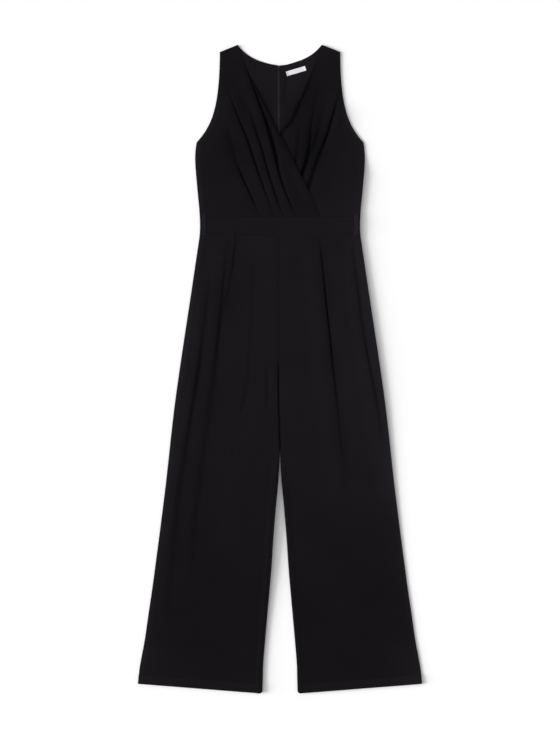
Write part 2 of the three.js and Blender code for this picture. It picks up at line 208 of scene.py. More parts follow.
# A fold's "path" is its x at even stations from its top to its foot. Round it the cloth stands in a low
# bank, "high" at the path and reaching "left" and "right" of it, and along it a trough is cut into the
# bank. "cut" and "width" are the trough's share of the bank's height and its half width, again at even
# stations. A share "slit" of it is that narrow and the rest spreads foldForm["spread"] times as far. On
# the right a share "sill" rises slowly over "slope" instead, and the left wall hangs over by "lean". A
# fold with "dark" takes that share of the cloth's colour in its trough as painted shade, and the rest
# take foldPaintedShade["fold"].
foldForm = {
    "spread": 2.6,
    "begins": 8,  # mm over which a trough begins and ends
    "bankFades": 90,  # mm over which a bank does
}
overFolds = [
    dict(top=575, foot=345, path=(-125, -119, -110, -100, -87, -72, -57, -46), high=6, left=70, right=40,
         lean=0.8, slit=0.5, sill=0.2, slope=30, cut=(0, 0.4, 0.42, 0.55, 0.95, 0.8, 0.6, 0.2),
         width=(6, 7, 7, 4.6, 2.6, 2.2, 2.2, 2.2)),
    dict(top=665, foot=345, path=(-126, -111, -93, -75, -60, -44, -27, -12), high=7.5, left=60, right=40,
         lean=1, slit=0.6, sill=0.25, slope=24, cut=(0, 0.6, 0.85, 1, 1, 0.8, 0.42, 0.3),
         width=(2.6, 2.4, 2.2, 2.2, 2, 1.8, 1.8, 1.8)),
    dict(top=635, foot=345, path=(-73, -67, -56, -43, -32, -19, -5, 11), high=7.5, left=40, right=40,
         lean=1, slit=0.6, sill=0.25, slope=20, cut=(0, 0.3, 0.65, 1, 1, 0.85, 0.6, 0.42),
         width=(3, 3, 2.2, 2, 2, 1.8, 1.8, 1.8)),
    dict(top=712, foot=345, path=(-82.5, -64.8, -45.2, -26.8, -12.8, -1.6, 17, 41), high=10.5, left=40,
         right=60, lean=0.8, slit=0.7, sill=0.2, slope=34, cut=(0.6, 1, 1, 1, 1, 0.9, 0.6, 0.3),
         width=(1.6, 2.2, 3.2, 4.4, 4.6, 2.6, 1.9, 1.8), dark=0.86),
]
underFolds = [
    dict(top=665, foot=440, path=(85, 84, 79, 72, 69, 65.5, 57, 45.5), high=8, left=40, right=40,
         lean=0.6, slit=0.6, sill=0.3, slope=24, cut=(0, 0.25, 0.35, 0.5, 0.7, 0.9, 1, 1),
         width=(6, 5, 4, 3.2, 3.4, 5.4, 5.6, 4.4), dark=0.92),
    dict(top=655, foot=400, path=(140, 131, 120, 109, 96, 82.5, 70, 56), high=8.5, left=40, right=60,
         lean=0.8, slit=0.6, sill=0.3, slope=40, cut=(0, 0.7, 0.85, 1, 0.85, 0.8, 0.8, 0.7),
         width=(3, 2.8, 3, 3.4, 5, 6, 6, 4.6)),
]
rightLegFolds = [
    dict(top=225, foot=-560, path=(-163, -175, -189, -207, -225, -240, -251, -260), high=4.6, left=40,
         right=70, lean=0.8, slit=0.45, sill=0.45, slope=34, cut=(0.2, 0.5, 0.75, 0.65, 0.5, 0.4, 0.34, 0.2),
         width=(3, 4, 5, 5, 6, 7.5, 9, 12)),
    dict(top=305, foot=-480, path=(-120, -132, -143, -156, -170, -185, -198, -207), high=4.8, left=60,
         right=60, lean=0.8, slit=0.45, sill=0.45, slope=40,
         cut=(0.3, 0.6, 0.75, 0.45, 0.36, 0.4, 0.36, 0.15), width=(2, 3, 4.6, 8, 8.5, 7, 6.5, 8)),
    dict(top=335, foot=110, path=(-101, -103, -106, -110, -115, -121, -130, -138), high=4, left=14,
         right=50, lean=0.6, slit=0.6, sill=0.4, slope=30, cut=(0.55, 0.6, 0.65, 0.65, 0.5, 0.4, 0.3, 0),
         width=(2, 2.2, 2.8, 3.2, 3, 3.2, 3.6, 4)),
]
leftLegFolds = [
    dict(top=325, foot=-250, path=(89, 98, 106, 115, 124, 134, 143, 152), high=8, left=60, right=70, lean=1,
         slit=0.7, sill=0.3, slope=40, cut=(0.2, 0.85, 1, 1, 0.7, 0.5, 0.35, 0),
         width=(1.6, 1.8, 2.4, 2.6, 2.8, 3, 3.2, 3.6)),
    dict(top=290, foot=-170, path=(166, 175, 184, 193, 204, 217, 229, 238), high=4.6, left=50, right=60,
         lean=0.6, slit=0.45, sill=0.45, slope=30, cut=(0.35, 0.55, 0.6, 0.55, 0.75, 0.6, 0.5, 0.1),
         width=(3.4, 3.6, 4, 3.6, 3, 4, 3.6, 3)),
]

# Creases are shallow troughs with no bank of their own; "deep" is in millimetres.
underCreases = [
    dict(top=575, foot=440, path=(45, 44, 42, 40, 36, 29, 22), deep=(0, 1.8, 3, 3.4, 3.4, 2.6, 0), width=5),
    dict(top=600, foot=490, path=(98, 93, 87, 78, 66), deep=(0, 1.4, 2.6, 3.2, 0), width=6),
    dict(top=600, foot=541, path=(150, 141, 132), deep=(0, 1.5, 0), width=3),
    dict(top=525, foot=439, path=(120, 108, 96, 84), deep=(0, 0.9, 0.8, 0), width=3),
]
rightLegCreases = [
    dict(top=268, foot=-125, path=(-63, -63, -65, -66, -69, -73, -82, -98), width=5,
         deep=(0, 0.6, 0.7, 0.8, 0.9, 1.2, 1.9, 0)),
    dict(top=30, foot=-105, path=(-29, -29.5, -30, -31), width=4.6, deep=(0, 1.6, 2, 0)),
    dict(top=95, foot=-105, path=(-197, -205, -212, -219, -226), width=3, deep=(0, 0.5, 0.7, 0.6, 0)),
    dict(top=-140, foot=-235, path=(-111, -110, -109), width=4, deep=(0, 0.5, 0)),
]
leftLegCreases = [
    dict(top=-190, foot=-260, path=(168, 178, 185, 191), width=3, deep=(0, 0.7, 0.7, 0)),
]


# how far down a fold y is, from 0 to 1, and the fold's x there
def foldShare(fold, y):
    return np.clip((fold["top"] - y) / (fold["top"] - fold["foot"]), 0, 1)


def foldX(fold, y):
    stations = [(-k, x) for k, x in enumerate(fold["path"])]
    return curveThrough(stations, foldShare(fold, y) * (1 - len(stations)))


# 1 along a fold, fading over its ends
def bankStrength(fold, y):
    fade = foldForm["bankFades"]
    return ease((fold["top"] + 10 - y) / fade) * ease((y - fold["foot"] + 60) / fade)


def troughStrength(fold, y):
    return ease((fold["top"] - y) / foldForm["begins"]) * ease((y - fold["foot"]) / foldForm["begins"])


# the banks: each is "high" over its path and fades out over "left" and "right"; together they stand as
# high as the cube root of their summed cubes
def bank(folds, x, y):
    total = np.zeros_like(x + y)
    for fold in folds:
        off = x - foldX(fold, y)
        reach = 1 - ease(np.where(off < 0, -off / fold["left"], off / fold["right"]))
        total += (fold["high"] * bankStrength(fold, y) * reach) ** 3
    return np.cbrt(total)


# the troughs: a product over the folds of 1 - cut * shape, where shape is two bells of distance / width,
# one narrow and one spread, mixed on the right with a long slope
def troughs(folds, x, y):
    left = np.ones_like(x + y)
    for fold in folds:
        s = foldShare(fold, y)
        off = x - foldX(fold, y)
        apart = off / valueAlong(fold["width"], s)
        shape = mix(bell(apart / foldForm["spread"]), bell(apart), fold["slit"])
        shape = np.where(off < 0, shape, mix(shape, 1 - ease(off / fold["slope"]), fold["sill"]))
        left *= 1 - troughStrength(fold, y) * valueAlong(fold["cut"], s) * shape
    return left


# the creases: each takes off "deep" times a bell of distance / width
def creases(rows, x, y):
    total = np.zeros_like(x + y)
    for crease in rows:
        s = foldShare(crease, y)
        total -= valueAlong(crease["deep"], s) * bell((x - foldX(crease, y)) / crease["width"])
    return total


# sideways: the left wall moves over the trough by "lean" times a bell about its crest
def foldLean(folds, x, y):
    total = np.zeros_like(x)
    for fold in folds:
        s = foldShare(fold, y)
        width = valueAlong(fold["width"], s)
        crest = bell((x - foldX(fold, y) + 1.3 * width) / (1.1 * width))
        total += troughStrength(fold, y) * valueAlong(fold["cut"], s) ** 2 * fold["lean"] * crest
    return total


# columns crowd towards each trough, so that its walls are round: x moves towards the path by most of its
# distance, times a bell
def foldCrowd(folds, x, y, reach=8, pull=0.8):
    moved = x.copy()
    for fold in folds:
        off = x - foldX(fold, y)
        moved -= pull * off * bell(off / reach)
    return moved


# how high each layer lies

lieHigh = {  # mm
    "overPull": 2.1,  # the back, over the zip's slider and pull
    "overZip": 2.2,  # the fronts, over the zip
    "loose": (1.2, 2.8),  # cloth off what it lies on, at the hems and on the body
    "ripple": 0.4,
    "backRipple": 0.22,
    "backLegRipple": 0.3,
    "allowance": 0.35,
}
seamCurl = {"side": 4.6, "insideRight": 8, "insideLeft": 4, "fork": 4, "reach": 20}  # mm


# mounds: level near the zip, with sides that ease down to nothing
def backLift(x, y):
    return lieHigh["overPull"] * (1 - ease((np.abs(x - garment["zipX"]) - 4.5) / 13)) * ease((y - 600) / 80)


# Some seams stand a little off the surface: the left side seam, most at the waist and hip and not at all
# at the underarm and hem, and the legs' inside seams, most just below the crotch.
def curl(x, y):
    side = ease((505 - y) / 60) * ease((y + 520) / 600) * (1 - ease((half(y) - x) / seamCurl["reach"]))
    edge = 1 - ease((np.abs(x) - curveThrough(legOpening, y)) / seamCurl["reach"])
    height = np.where(x < 0, seamCurl["insideRight"], seamCurl["insideLeft"])
    inside = height * mix(0.5, 1, ease((y + 640) / 240)) + seamCurl["fork"] * bell((y + 300) / 120) * (x < 0)
    return seamCurl["side"] * side + inside * edge * ease((-185 - y) / 70)


def zipMound(x, y):
    return lieHigh["overZip"] * (1 - ease((np.abs(x - garment["zipX"]) - 6) / 75)) * ease((y - 100) / 55)


# cloth lies a little loose, less at its sides and beside the seam at seamY, where a share is held
def loose(x, y, seamY, held):
    lift = mix(*lieHigh["loose"], ease((y + 250) / 400) * ease((650 - y) / 120))
    return lift * ease(fromSide(x, y) / 13) * mix(held, 1, ease(np.abs(y - seamY) / 40)) + curl(x, y)


# faint unevenness, drawn out down the cloth: mostly wide noise and a little narrow
def ripple(x, y, seed):
    wide = softNoise(x, y, 46, 210, seed)
    narrow = softNoise(x, y, 13, 150, seed + 1)
    return lieHigh["ripple"] * (0.72 * wide + 0.28 * narrow)


# how far the front beneath stands off the back; filled leaves its troughs out
def underRise(x, y, filled=False):
    free = ease(fromSide(x, y) / 14) * ease((y - bodiceFoot) / 45)
    edge = ease((x - underX(y)) / 14)
    height = bank(underFolds, x, y) * mix(0.35, 1, edge)
    if not filled:
        height = height * troughs(underFolds, x, y) + creases(underCreases, x, y)
    beneath = 1 - ease((overX(y) - x - 2) / 26)
    lift = loose(x, y, bodiceFoot, 0.08) * mix(1, troughs(underFolds, x, y), 0.8 * free)
    return (lift + (height + ripple(x, y, 21)) * free) * beneath


# the underside of the front beneath
def underLow(x, y):
    return frontFloor + zipMound(x, y) + underRise(x, y)


# the front on top steps up onto the one beneath, and its slanting edge lies along that one's bank
def overLow(x, y):
    onUnder = ease((x - underX(y) + 46) / 34)
    edge = overX(y) - x
    step = onUnder * (garment["cloth"] + garment["layerGap"] + underRise(x, y, filled=True))
    flat = mix(0.2, 1, ease(edge / 14))
    free = ease((x + half(y)) / 14) * ease(edge / 8) * (0.1 + 0.9 * ease((y - bodiceFoot) / 36))
    height = bank(overFolds, x, y) * troughs(overFolds, x, y)
    lift = loose(x, y, bodiceFoot, 0.08) * flat * mix(1, troughs(overFolds, x, y), 0.8 * free)
    own = lift + (height + ripple(x, y, 11)) * free
    return frontFloor + zipMound(x, y) + step + own


# the hem is turned up, which thickens it, and steps down again at the stitching
def turnUp(x, y):
    return garment["hemExtra"] * (1 - ease((y - hemLine(x) - garment["hemDepth"]) / 1.5))


# the waist seam's allowance lies under the top of each leg
def allowance(x, y):
    return lieHigh["allowance"] * (1 - ease((bandFoot(x) - y - 6.5) / 1.5))


# a leg front's underside: its folds fade out at the sides, at the inside seam and at the waist
def legLow(folds, small, seed):
    def low(x, y):
        sides = ease(fromSide(x, y) / 26)
        seamX = centreSeam(frontSeamStart, y)
        fromSeam = np.abs(x - seamX) - curveThrough(legOpening, y)
        parted = ease((30 - y) / 90)
        inseam = mix(1, ease(fromSeam / 9), parted * (0.35 + 0.65 * ease((-220 - y) / 200)))
        free = sides * inseam * (0.25 + 0.75 * ease((bandFoot(x) - y) / 40))
        hem = 1 - 0.6 * ease((hemLine(x) + 60 - y) / 60)
        bumps = bank(folds, x, y) * troughs(folds, x, y) + ripple(x, y, seed) * hem
        stand = loose(x, y, garment["bandFoot"], 0.4) * (0.25 + 0.75 * inseam)
        folded = bumps * free + creases(small, x, y) * ease((stand + bumps * free) / 1.2)
        under = frontFloor + zipMound(x, y) + turnUp(x, y) + allowance(x, y)
        return under + np.maximum(stand + folded, 0.05)
    return low


# meshes

# quads or triangles from arrays; tone is a share of the cloth's colour at each point
def meshFrom(name, points, faces, uv=None, tone=None):
    points, faces = np.asarray(points, float), np.asarray(faces, int)
    mesh = bpy.data.meshes.new(name)
    mesh.vertices.add(len(points))
    mesh.vertices.foreach_set("co", (points * mm).ravel())
    corners = faces.shape[1]
    mesh.loops.add(faces.size)
    mesh.loops.foreach_set("vertex_index", faces.ravel())
    mesh.polygons.add(len(faces))
    mesh.polygons.foreach_set("loop_start", np.arange(0, faces.size, corners))
    mesh.polygons.foreach_set("use_smooth", np.ones(len(faces), bool))
    if uv is not None:
        layer = mesh.uv_layers.new(name="cloth")
        layer.data.foreach_set("uv", (np.asarray(uv, float) * mm)[faces.ravel()].ravel())
    if tone is not None:
        shares = mesh.attributes.new("tone", "FLOAT", "POINT").data
        shares.foreach_set("value", np.asarray(tone, float).ravel())
    mesh.update(calc_edges=True)
    mesh.validate()
    piece = bpy.data.objects.new(name, mesh)
    bpy.context.collection.objects.link(piece)
    return piece


plainTone = 1.15  # of the undersides
rimRound = 0.3  # mm, how far in an edge is rounded
rimSteps = np.array([0, 0.06, 0.2, 0.42])  # mm in from an edge, where the grids have their first points
rimInset = 0.75  # mm in, where the even part of a grid starts


# A closed wall of cloth from a grid of middle points. Each point moves out along the normal by half the
# thickness, to one side and to the other, and at the grid's edge both meet in a rounded rim. A grid whose
# x runs from right to left is turned round first.
def clothShell(name, x, y, z, thick, edge, tone, turned=False):
    grids = [np.broadcast_to(grid, x.shape) for grid in (x, y, z, thick, edge, tone)]
    x, y, z, thick, edge, tone = [grid[:, ::-1] for grid in grids] if turned else grids
    middle = np.stack([x, y, z], axis=-1)
    normal = np.cross(np.gradient(middle, axis=0), np.gradient(middle, axis=1))
    normal /= np.linalg.norm(normal, axis=-1, keepdims=True)
    rim = np.clip(edge / rimRound, 0, 1)
    out = normal * (thick / 2 * np.sqrt(1 - (1 - rim) ** 2))[..., None]
    rows, columns = x.shape
    front = np.arange(rows * columns).reshape(rows, columns)
    back = front.copy()
    inner = (rows - 2) * (columns - 2)
    back[1:-1, 1:-1] = rows * columns + np.arange(inner).reshape(rows - 2, columns - 2)
    flat = np.stack([x, y], axis=-1)
    plain = np.full(x.shape, plainTone)

    def both(top, under):
        return np.concatenate([top.reshape(rows * columns, -1), under[1:-1, 1:-1].reshape(inner, -1)])

    def quads(index, turned):
        a, b, c, d = index[:-1, :-1], index[1:, :-1], index[1:, 1:], index[:-1, 1:]
        order = (a, d, c, b) if turned else (a, b, c, d)
        return np.stack(order, axis=-1).reshape(-1, 4)

    faces = np.concatenate([quads(front, False), quads(back, True)])
    return meshFrom(name, both(middle + out, middle - out), faces, both(flat, flat), both(tone, plain))


# shares from 0 to 1 with the rim's steps at both ends; size is the real length in millimetres
def sharesAcross(size, count):
    size = np.asarray(size, float)[..., None]
    ends = rimSteps / size
    middle = mix(rimInset / size, 1 - rimInset / size, np.linspace(0, 1, count))
    return np.concatenate([ends + 0 * size, middle, 1 - ends[..., ::-1]], axis=-1)


# how far in from the nearest edge a grid's points lie, from their shares of its two sizes
def fromEdge(u, v, wide, long):
    return np.minimum(np.minimum(u, 1 - u) * wide, np.minimum(v, 1 - v) * long)


# A panel between two edges. rowAt(v, t) is the height of row v at a share t across; points run from the
# left edge to the right one, and low(x, y) is the underside's height.
def clothPanel(name, left, right, rowAt, rows, columns, low, tone, folds=(), thick=None):
    long = abs(float(rowAt(0.0, 0.5) - rowAt(1.0, 0.5)))
    v = sharesAcross(long, rows)
    xLeft, xRight = left(rowAt(v, 0.0)), right(rowAt(v, 1.0))
    width = (xRight - xLeft)[:, None]
    x = xLeft[:, None] + width * sharesAcross(xRight - xLeft, columns)
    sideways = np.minimum(x - xLeft[:, None], xRight[:, None] - x)
    y = rowAt(v[:, None], (x - xLeft[:, None]) / width)
    x = mix(x, foldCrowd(folds, x, y), ease(sideways / 12))
    least = 1e-4 * np.arange(x.shape[1])  # keeps the columns in order
    x = np.maximum.accumulate(x + least, axis=1) - least
    y = rowAt(v[:, None], (x - xLeft[:, None]) / width)
    wallThick = garment["cloth"] + (thick(x, y) if thick else 0 * x)
    z = low(x, y) + wallThick / 2
    sideways = np.minimum(x - xLeft[:, None], xRight[:, None] - x)
    edge = np.minimum(sideways, (np.minimum(v, 1 - v) * long)[:, None])
    shifted = x + foldLean(folds, x, y) * ease(sideways / 8)
    return clothShell(name, shifted, y, z, wallThick, edge, tone(x, y))


# Round threads, each along its own short path of points. The ring at a point has the given radius and
# stands square to the path; "across" is a direction square to every path. Both ends close in a point.
def threads(name, paths, radius, across, sides=6):
    paths = np.asarray(paths, float)
    count, stations = paths.shape[:2]
    along = np.gradient(paths, axis=1)
    along /= np.linalg.norm(along, axis=-1, keepdims=True)
    side = np.broadcast_to(np.asarray(across, float), paths.shape)
    up = np.cross(along, side)
    angle = np.linspace(0, 2 * np.pi, sides, endpoint=False)
    circle = np.cos(angle)[:, None] * side[:, :, None] + np.sin(angle)[:, None] * up[:, :, None]
    rings = paths[:, :, None] + np.asarray(radius, float)[None, :, None, None] * circle
    past = 0.3 * np.array([radius[0], -radius[-1]])[:, None]
    tips = paths[:, [0, -1]] - along[:, [0, -1]] * past
    points = np.concatenate([rings.reshape(count, -1, 3), tips], axis=1)
    k = np.arange(sides)
    after = (k + 1) % sides
    base = np.arange(stations - 1)[:, None] * sides
    a, b = base + k, base + after
    body = np.stack([a, b, b + sides, a, b + sides, a + sides], axis=-1).reshape(-1, 3)
    first = np.stack([after, k, np.full(sides, stations * sides)], axis=-1)
    last = (stations - 1) * sides
    final = np.stack([k + last, after + last, np.full(sides, stations * sides + 1)], axis=-1)
    one = np.concatenate([body, first, final])
    faces = (one[None] + (np.arange(count) * points.shape[1])[:, None, None]).reshape(-1, 3)
    return meshFrom(name, points.reshape(-1, 3), faces)


# materials

crepeLook = {
    "colour": (0.0103, 0.0085, 0.0112),
    "threadPitch": 0.45,  # mm
    "pebble": 1.1,  # mm, the crepe's grain
    "bump": 0.05,  # mm
    "roughness": 0.62,
    "roughRange": 0.16,
    "specular": 0.04,
    "sheen": 0.02,
    "patches": (9, 0.92, 1.08),  # a noise's scale, and the colour's darkest and lightest shares
}


def newMaterial(name, look):
    material = bpy.data.materials.new(name)
    material.use_nodes = True
    tree = material.node_tree
    tree.nodes.clear()
    shader = tree.nodes.new("ShaderNodeBsdfPrincipled")
    output = tree.nodes.new("ShaderNodeOutputMaterial")
    tree.links.new(shader.outputs["BSDF"], output.inputs["Surface"])
    shader.inputs["Base Color"].default_value = (*look["colour"], 1)
    shader.inputs["Roughness"].default_value = look["roughness"]
    shader.inputs["Specular IOR Level"].default_value = look["specular"]
    shader.inputs["Sheen Weight"].default_value = look.get("sheen", 0)
    shader.inputs["Metallic"].default_value = look.get("metallic", 0)
    return material, tree, shader


def mathNode(tree, operation, *values):
    node = tree.nodes.new("ShaderNodeMath")
    node.operation = operation
    for socket, value in zip(node.inputs, values):
        if isinstance(value, (int, float)):
            socket.default_value = value
        else:
            tree.links.new(value, socket)
    return node.outputs[0]


def addBump(tree, shader, height, depth, strength=0.5):
    bump = tree.nodes.new("ShaderNodeBump")
    bump.inputs["Strength"].default_value = strength
    bump.inputs["Distance"].default_value = depth
    tree.links.new(height, bump.inputs["Height"])
    tree.links.new(bump.outputs["Normal"], shader.inputs["Normal"])


# sine bands of one thread's pitch, slightly wavy
def threadBands(tree, place, direction, pitch):
    wave = tree.nodes.new("ShaderNodeTexWave")
    wave.bands_direction = direction
    wave.inputs["Scale"].default_value = 0.314 / pitch
    wave.inputs["Distortion"].default_value = 1.2
    wave.inputs["Detail"].default_value = 1
    tree.links.new(place, wave.inputs["Vector"])
    return wave.outputs["Fac"]


def noiseNode(tree, place, scale, detail):
    noise = tree.nodes.new("ShaderNodeTexNoise")
    noise.inputs["Scale"].default_value = scale
    noise.inputs["Detail"].default_value = detail
    tree.links.new(place, noise.inputs["Vector"])
    return noise.outputs["Fac"]


# a colour that varies between two shares of itself over smooth noise
def unevenColour(tree, place, look):
    scale, darkest, lightest = look["patches"]
    ramp = tree.nodes.new("ShaderNodeValToRGB")
    for element, position, share in zip(ramp.color_ramp.elements, (0.3, 0.7), (darkest, lightest)):
        element.position = position
        element.color = (*[c * share for c in look["colour"]], 1)
    tree.links.new(noiseNode(tree, place, scale, 4), ramp.inputs["Fac"])
    return ramp.outputs["Color"]


def unevenRoughness(tree, shader, noise, look):
    least = look["roughness"] - look["roughRange"] / 2
    rough = mathNode(tree, "MULTIPLY_ADD", noise, look["roughRange"], least)
    tree.links.new(rough, shader.inputs["Roughness"])


# black crepe: crossed threads and a fine pebble as bump, an uneven dye, and the panel's tone, which carries
# painted light and shade
def makeCrepe():
    look = crepeLook
    material, tree, shader = newMaterial("crepe", look)
    place = tree.nodes.new("ShaderNodeTexCoord").outputs["Object"]
    weave = mathNode(
        tree, "MULTIPLY",
        threadBands(tree, place, "X", look["threadPitch"] * mm),
        threadBands(tree, place, "Y", look["threadPitch"] * mm),
    )
    pebble = noiseNode(tree, place, 1 / (look["pebble"] * mm), 2)
    addBump(tree, shader, mathNode(tree, "ADD", weave, pebble), look["bump"] * mm)
    unevenRoughness(tree, shader, pebble, look)
    tone = tree.nodes.new("ShaderNodeAttribute")
    tone.attribute_name = "tone"
    scale = tree.nodes.new("ShaderNodeVectorMath")
    scale.operation = "SCALE"
    tree.links.new(unevenColour(tree, place, look), scale.inputs[0])
    tree.links.new(tone.outputs["Fac"], scale.inputs["Scale"])
    tree.links.new(scale.outputs["Vector"], shader.inputs["Base Color"])
    return material


nylonLook = {
    "colour": (0.0235, 0.0192, 0.0245),
    "roughness": 0.36,
    "specular": 0.42,
    "patches": (260, 0.85, 1.2),
}
threadLook = {
    "black": (0.0075, 0.0068, 0.008),
    "white": (0.65, 0.65, 0.65),
    "roughness": 0.5,
    "specular": 0.3,
    "twist": 0.25,  # mm
    "bump": 0.03,  # mm
    "patches": (400, 0.85, 1.1),
}
satinLook = {
    "colour": (0.655, 0.65, 0.69),
    "roughness": 0.42,
    "specular": 0.4,
    "sheen": 0.1,
    "ribs": (0.5, 0.3),  # mm, across and along
    "bump": 0.04,  # mm
    "patches": (120, 0.95, 1.03),
}
metalLook = {
    "colour": (0.008, 0.0075, 0.0085),
    "roughness": 0.42,
    "roughRange": 0.2,
    "specular": 0.35,
    "metallic": 0.35,
    "grain": 1800,
    "bump": 0.02,  # mm
    "patches": (500, 0.8, 1.5),
}


def makeNylon():
    material, tree, shader = newMaterial("nylonCoil", nylonLook)
    place = tree.nodes.new("ShaderNodeTexCoord").outputs["Object"]
    tree.links.new(unevenColour(tree, place, nylonLook), shader.inputs["Base Color"])
    return material


# sewing thread: the twist's ridges run aslant
def makeThread(name, colour):
    look = {**threadLook, "colour": colour}
    material, tree, shader = newMaterial(name, look)
    place = tree.nodes.new("ShaderNodeTexCoord").outputs["Object"]
    addBump(tree, shader, threadBands(tree, place, "DIAGONAL", look["twist"] * mm), look["bump"] * mm)
    tree.links.new(unevenColour(tree, place, look), shader.inputs["Base Color"])
    return material


# white satin: fine ribs across the label and a faint unevenness
def makeSatin():
    material, tree, shader = newMaterial("satin", satinLook)
    place = tree.nodes.new("ShaderNodeUVMap")
    place.uv_map = "cloth"
    place = place.outputs["UV"]
    ribs, picks = [threadBands(tree, place, axis, pitch * mm) for axis, pitch in zip("XY", satinLook["ribs"])]
    addBump(tree, shader, mathNode(tree, "ADD", ribs, picks), satinLook["bump"] * mm)
    tree.links.new(unevenColour(tree, place, satinLook), shader.inputs["Base Color"])
    return material


# dark painted metal: fine grain in the paint, with the roughness a little uneven
def makeMetal():
    material, tree, shader = newMaterial("zipMetal", metalLook)
    place = tree.nodes.new("ShaderNodeTexCoord").outputs["Object"]
    grain = noiseNode(tree, place, metalLook["grain"], 3)
    unevenRoughness(tree, shader, grain, metalLook)
    addBump(tree, shader, grain, metalLook["bump"] * mm, 0.3)
    tree.links.new(unevenColour(tree, place, metalLook), shader.inputs["Base Color"])
    return material


crepe = makeCrepe()
nylon = makeNylon()
blackThread = makeThread("blackThread", threadLook["black"])
whiteThread = makeThread("whiteThread", threadLook["white"])
satin = makeSatin()
zipMetal = makeMetal()
print("materials ready")


# what every piece of the garment gets; node is the CAD piece that it stands for
def addPiece(piece, material, node=None):
    piece.data.materials.append(material)
    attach(piece, "garment")
    if node:
        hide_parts(node)


# tone: painted light and shade on the cloth from the shoulders down, with painted highlights along the side
# seams

# painted light and shade down the fronts: a share of the cloth's colour at each height
frontPaintedLight = [(753, 1.04), (735, 1.02), (710, 0.93), (670, 0.88), (600, 0.9), (540, 0.95), (480, 0.97),
             (420, 1.0), (330, 1.15), (200, 1.2), (0, 1.18), (-200, 1.13), (-420, 0.95), (-560, 0.86),
             (-690, 0.88), (-753, 0.98)]
# painted highlights: paler strips beside the side seams, at the hems' outer corners, along the rims, on the
# left bust, high on the right leg near the middle, and at the underarms
paintedHighlights = {"right": 0.14, "left": 0.5, "width": 60, "hem": 0.3, "rim": 0.4, "bodice": 0.16,
            "middle": 0.1, "underarm": 0.22}
# painted highlight on the turned-up hems and along their upper edge
hemPaintedHighlight = {"band": 0.18, "ridge": 0.06}  # the turned-up hem, and its upper edge
# painted highlight on the left leg between its two folds
thighPaintedHighlight = 0.18  # between the two folds on the left leg
# painted shade in the folds' troughs and along the creases
foldPaintedShade = {"fold": 0.76, "crease": 0.14}  # the share taken in a full trough, and by a crease's millimetre
# painted shade round the legs' folds
hollowPaintedShade = {"share": 0.13, "reach": 17}  # round the legs' folds
# painted shade where a seam stands off the surface
curlPaintedShade = 0.025  # the share taken by each millimetre that a seam stands off the surface
# the inside of the back: its tone on either side of the zip, and the shares of painted shade taken from it
backShade = {
    "right": 1.28,  # the inside of the back, on either side of the zip
    "left": 1.42,
    "low": 0.14,  # the shares taken in the foot of the V
    "beside": 0.28,  # beside the left front's edge, and close to it
    "close": 0.4,
    "wrap": 0.55,  # along the right front's edge
    "fork": 0.7,  # under the crotch
}
# shares of painted shade on the fronts
frontShade = {
    "paintedEdgeShade": 0.8,  # the left front's edge
    "paintedInnerShade": 0.33,
    "hollow": 0.25,
    "crossed": 0.65,  # where the right front crosses it
    "overPaintedEdgeShade": 0.85,  # the right front's edge
    "overPaintedInnerShade": 0.17,
    "overHollow": 0.2,
    "seam": 0.12,  # the centre front seam, and where it opens
    "seamOpen": 0.58,
}


# painted shade: darker deep in each fold's trough, round the legs' folds where asked, and along the creases
def foldShade(folds, small, x, y, hollow=0.0):
    shade = np.ones_like(x + y)
    for fold in folds:
        around = bell((x - foldX(fold, y)) / hollowPaintedShade["reach"])
        shade *= 1 - hollow * bankStrength(fold, y) * around
        s = foldShare(fold, y)
        apart = (x - foldX(fold, y)) / valueAlong(fold["width"], s)
        deep = troughStrength(fold, y) * valueAlong(fold["cut"], s) * bell(apart / 1.15)
        shade *= 1 - fold.get("dark", foldPaintedShade["fold"]) * ease(deep)
    return shade * (1 + foldPaintedShade["crease"] * creases(small, x, y))


# the fronts' tone: the table of painted light and shade down the cloth, painted highlights in paler strips
# that fade in from the side seams and in a few patches, and painted shade where seams stand off the surface
def toneAt(x, y):
    inward = fromSide(x, y)
    near = 1 - ease(inward / paintedHighlights["width"])
    right = paintedHighlights["right"] * ease((180 - y) / 100)
    left = paintedHighlights["left"] * ease((345 - y) / 70) * mix(0.3, 1, ease((y + 460) / 300))
    pale = np.where(x < 0, right, left) * near
    low = paintedHighlights["hem"] * (1 - ease(inward / 100)) * ease((-600 - y) / 80)
    up = y - hemLine(x) - garment["hemDepth"]
    turned = hemPaintedHighlight["band"] * (1 - ease(up / 1.5)) + hemPaintedHighlight["ridge"] * bell((up + 2) / 2.5) * ease(-y / 100)
    rim = paintedHighlights["rim"] * (1 - ease(inward / 16)) * ease((640 - y) / 60) * (1 - ease((-640 - y) / 90))
    bust = paintedHighlights["bodice"] * near * ease((470 - y) / 60) * (x > 0) * ease((y - 350) / 10)
    middle = paintedHighlights["middle"] * bell((x + 25) / 55) * bell((y - 285) / 45)
    underarm = paintedHighlights["underarm"] * (1 - ease(inward / 50)) * bell((y - 525) / 45)
    paleness = pale + low + rim + bust + middle + underarm
    return (curveThrough(frontPaintedLight, y) + paleness) * (1 + turned) * (1 - curlPaintedShade * curl(x, y))


# painted shade along the centre seam, deeper where it opens
def seamShade(x, y):
    apart = (x - centreSeam(frontSeamStart, y)) / 2.6
    parted = frontShade["seamOpen"] * ease((garment["seamTurn"] + 6 - y) / 24)
    return 1 - (frontShade["seam"] + parted) * bell(apart) * ease((y + 215) / 30)


def rightLegTone(x, y):
    shade = foldShade(rightLegFolds, rightLegCreases, x, y, hollowPaintedShade["share"])
    return toneAt(x, y) * shade * seamShade(x, y)


